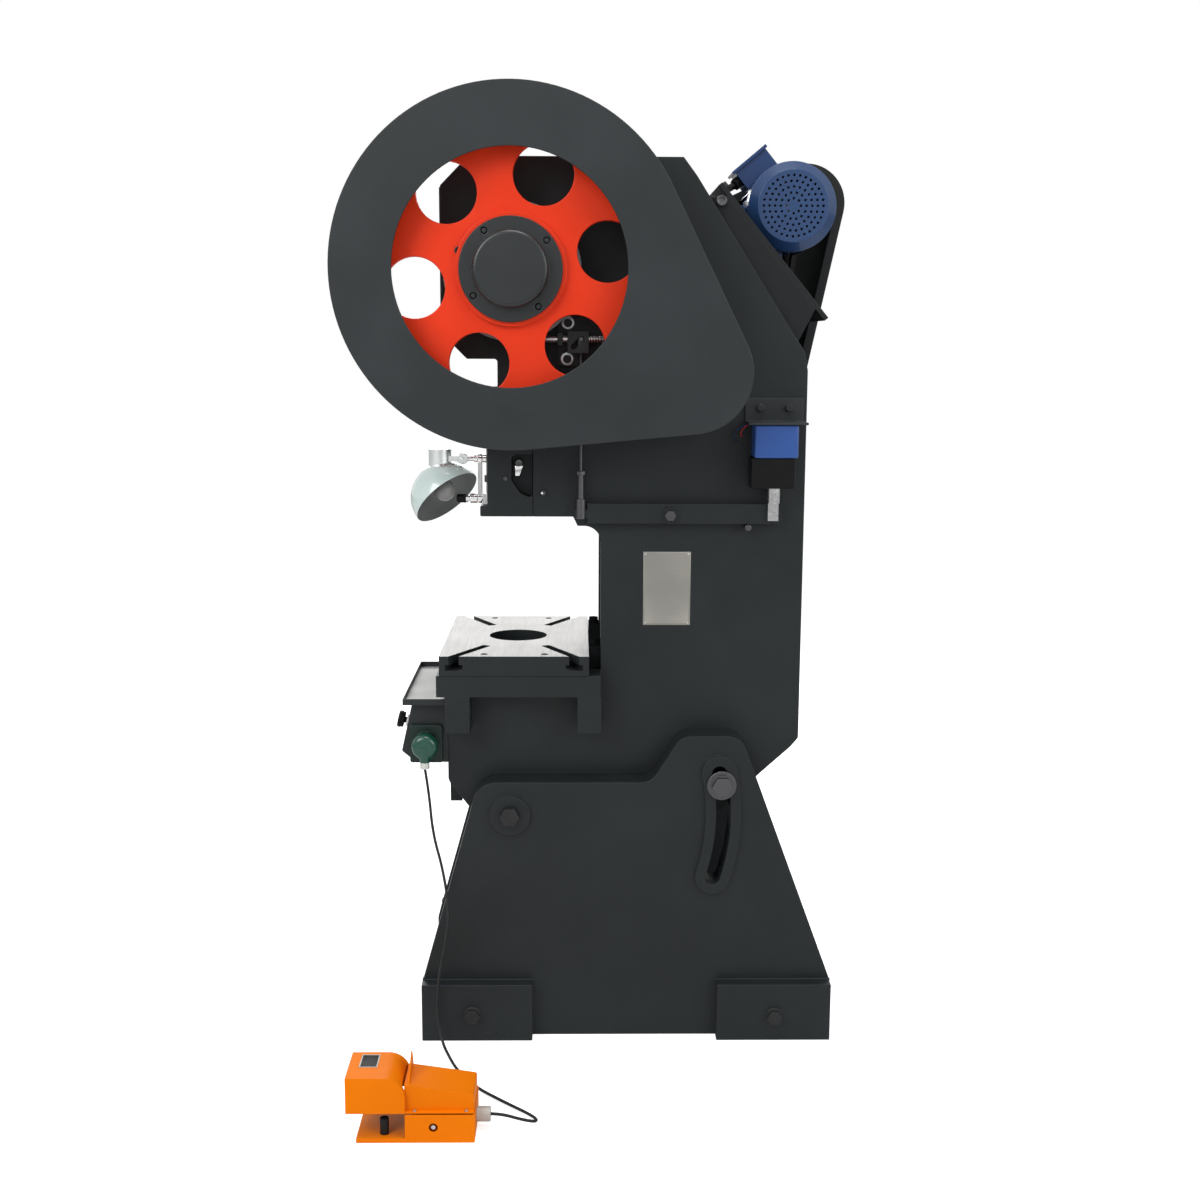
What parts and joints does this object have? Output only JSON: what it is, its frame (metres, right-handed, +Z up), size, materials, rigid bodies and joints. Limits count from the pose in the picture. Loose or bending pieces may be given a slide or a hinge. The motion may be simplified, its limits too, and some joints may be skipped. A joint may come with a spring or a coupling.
{
  "type": "mechanical stamping press",
  "caption": "Open-back inclinable mechanical press: cast C-frame on two legs, geared crank drive under a tear-shaped guard, ram, T-slotted table, motor, work lamp and foot switch.",
  "frame": {"origin": "on the floor, at the centre of the four anchor holes in the feet", "axes": "+Z up; -Y is the press's front, where the operator stands; +X is the gear side, along the crankshaft"},
  "size_m": [1.163, 1.2859, 2.338],
  "materials": {
    "body_casting": "satin blue-grey machine enamel on cast iron",
    "guard_sheet": "satin blue-grey enamel on sheet steel",
    "gear_orange": "orange-red machine enamel on cast iron",
    "ground_steel": "ground steel",
    "dark_steel": "black oxide",
    "chrome_steel": "bright plated",
    "bronze": "turned bronze",
    "motor_blue": "blue machine enamel",
    "solenoid_blue": "blue enamel",
    "lamp_enamel": "grey-green enamel",
    "frosted_bulb": "frosted glass",
    "black_rubber": "smooth rubber",
    "black_plastic": "moulded",
    "red_plastic": "moulded",
    "grey_plastic": "moulded",
    "socket_green": "green-grey enamel",
    "tray_enamel": "light grey enamel",
    "pedal_orange": "orange enamel on sheet steel"
  },
  "bodies": {
    "stand": {"leg_right": "body_casting", "leg_left": "body_casting", "leg_bolts": "dark_steel", "pedal_base": "pedal_orange", "pedal_cover": "pedal_orange", "pedal_stop": "black_rubber", "pedal_gland": "grey_plastic", "pedal_cord": "black_rubber"},
    "treadle": {"treadle": "dark_steel"},
    "frame": {"frame_casting": "body_casting", "bolster": "ground_steel", "bolster_clamp": "dark_steel", "gibs": "body_casting", "frame_bolts": "dark_steel", "shaft_bushes": "bronze", "gear_guard": "guard_sheet", "front_cover": "guard_sheet", "brake_band": "ground_steel", "v_belts": "black_rubber", "belt_guard": "guard_sheet", "motor_base": "guard_sheet", "motor_housing": "motor_blue", "fan_cover": "motor_blue", "motor_cable": "black_rubber", "tilt_clamp_bolts": "dark_steel", "trip_bracket": "dark_steel", "trip_spring": "dark_steel", "solenoid_bracket": "guard_sheet", "solenoid_cover": "solenoid_blue", "solenoid_coil": "black_plastic", "control_box": "guard_sheet", "button_bezels": "grey_plastic", "tray": "tray_enamel", "socket_flange": "socket_green", "plug": "socket_green", "lamp_base": "chrome_steel"},
    "gear": {"big_gear": "gear_orange", "gear_bush": "bronze", "hub_cap": "dark_steel"},
    "flywheel": {"pinion_shaft": "ground_steel", "flywheel": "body_casting"},
    "motor_rotor": {"motor_rotor": "ground_steel"},
    "crank": {"crankshaft": "ground_steel"},
    "eccentric": {"eccentric_bush": "bronze"},
    "ram": {"connecting_rod": "ground_steel", "rod_cap": "ground_steel", "ball_screw": "ground_steel", "ball_cup": "dark_steel", "ram": "ground_steel"},
    "trip_lever": {"trip_lever": "body_casting"},
    "plunger": {"plunger": "chrome_steel"},
    "pull_rod": {"pull_rod": "dark_steel"},
    "trip_pin": {"trip_pin": "ground_steel"},
    "lamp_link": {"lamp_link": "chrome_steel"},
    "lamp_arm": {"lamp_arm": "chrome_steel"},
    "lamp_shade": {"lamp_shade": "lamp_enamel", "lamp_bulb": "frosted_bulb"},
    "run_button": {"run_button": "red_plastic"},
    "stop_button": {"stop_button": "black_plastic"},
    "mode_knob": {"mode_knob": "black_plastic"}
  },
  "joints": [
    {"name": "treadle_press", "type": "hinge", "parent": "stand", "child": "treadle", "pos_m": [0.74, -0.486, 0.06], "axis": [1, 0, 0], "range_deg": [0, 6], "stiffness_Nm_per_rad": 12, "springref_deg": -8.59},
    {"name": "frame_tilt", "type": "hinge", "parent": "stand", "child": "frame", "pos_m": [0, -0.295, 0.587], "axis": [-1, 0, 0], "range_deg": [0, 25]},
    {"name": "gear_spin", "type": "hinge", "parent": "frame", "child": "gear", "pos_m": [0.3075, -0.283, 1.922], "axis": [1, 0, 0], "continuous": true},
    {"name": "flywheel_spin", "type": "hinge", "parent": "frame", "child": "flywheel", "pos_m": [-0.294, 0.1397, 1.68624], "axis": [1, 0, 0], "continuous": true},
    {"name": "motor_spin", "type": "hinge", "parent": "frame", "child": "motor_rotor", "pos_m": [-0.1, 0.406, 2.091], "axis": [1, 0, 0], "continuous": true},
    {"name": "crank_turn", "type": "hinge", "parent": "frame", "child": "crank", "pos_m": [0, -0.283, 1.922], "axis": [1, 0, 0], "continuous": true},
    {"name": "eccentric_turn", "type": "hinge", "parent": "crank", "child": "eccentric", "pos_m": [0, -0.283, 1.93825], "axis": [1, 0, 0], "continuous": true},
    {"name": "rod_turn", "type": "hinge", "parent": "eccentric", "child": "ram", "pos_m": [0, -0.283, 1.9545], "axis": [1, 0, 0], "continuous": true},
    {"name": "lever_turn", "type": "hinge", "parent": "frame", "child": "trip_lever", "pos_m": [0.225, 0.101, 1.337], "axis": [1, 0, 0], "range_deg": [0, 3.9]},
    {"name": "plunger_slide", "type": "slide", "parent": "frame", "child": "plunger", "axis": [0, 0, 1], "range_m": [0, 0.0171]},
    {"name": "rod_slide", "type": "slide", "parent": "frame", "child": "pull_rod", "axis": [0, 0, 1], "range_m": [-0.015, 0]},
    {"name": "trip_pin_slide", "type": "slide", "parent": "frame", "child": "trip_pin", "axis": [0, 1, 0], "range_m": [0, 0.015], "stiffness_N_per_m": 1500, "springref_m": -0.02, "deforming": ["trip_spring"]},
    {"name": "lamp_link_turn", "type": "hinge", "parent": "frame", "child": "lamp_link", "pos_m": [0.17, -0.369, 1.372], "axis": [0, 1, 0], "range_deg": [-20, 30]},
    {"name": "lamp_arm_turn", "type": "hinge", "parent": "lamp_link", "child": "lamp_arm", "pos_m": [0.17, -0.369, 1.471], "axis": [0, 1, 0], "range_deg": [-25, 40]},
    {"name": "shade_tilt", "type": "hinge", "parent": "lamp_arm", "child": "lamp_shade", "pos_m": [0.17, -0.412, 1.471], "axis": [1, 0, 0], "range_deg": [-45, 4]},
    {"name": "run_push", "type": "slide", "parent": "frame", "child": "run_button", "axis": [0, 0.9758, -0.2186], "range_m": [0, 0.005], "stiffness_N_per_m": 400, "springref_m": -0.01},
    {"name": "stop_push", "type": "slide", "parent": "frame", "child": "stop_button", "axis": [0, 0.9758, -0.2186], "range_m": [0, 0.005], "stiffness_N_per_m": 400, "springref_m": -0.01},
    {"name": "mode_turn", "type": "hinge", "parent": "frame", "child": "mode_knob", "pos_m": [-0.05, -0.54926, 0.83353], "axis": [0, -0.9758, 0.2186], "range_deg": [-45, 45]}
  ],
  "couplings": [
    {"joint": "flywheel_spin", "follows": "gear_spin", "ratio": -4.2609},
    {"joint": "motor_spin", "follows": "gear_spin", "ratio": -18.662},
    {"joint": "eccentric_turn", "follows": "crank_turn", "ratio": -2},
    {"joint": "rod_turn", "follows": "crank_turn", "ratio": 1},
    {"joint": "plunger_slide", "follows": "lever_turn", "m_per_rad": 0.251},
    {"joint": "rod_slide", "follows": "lever_turn", "m_per_rad": -0.22},
    {"joint": "trip_pin_slide", "follows": "lever_turn", "m_per_rad": 0.22}
  ]
}
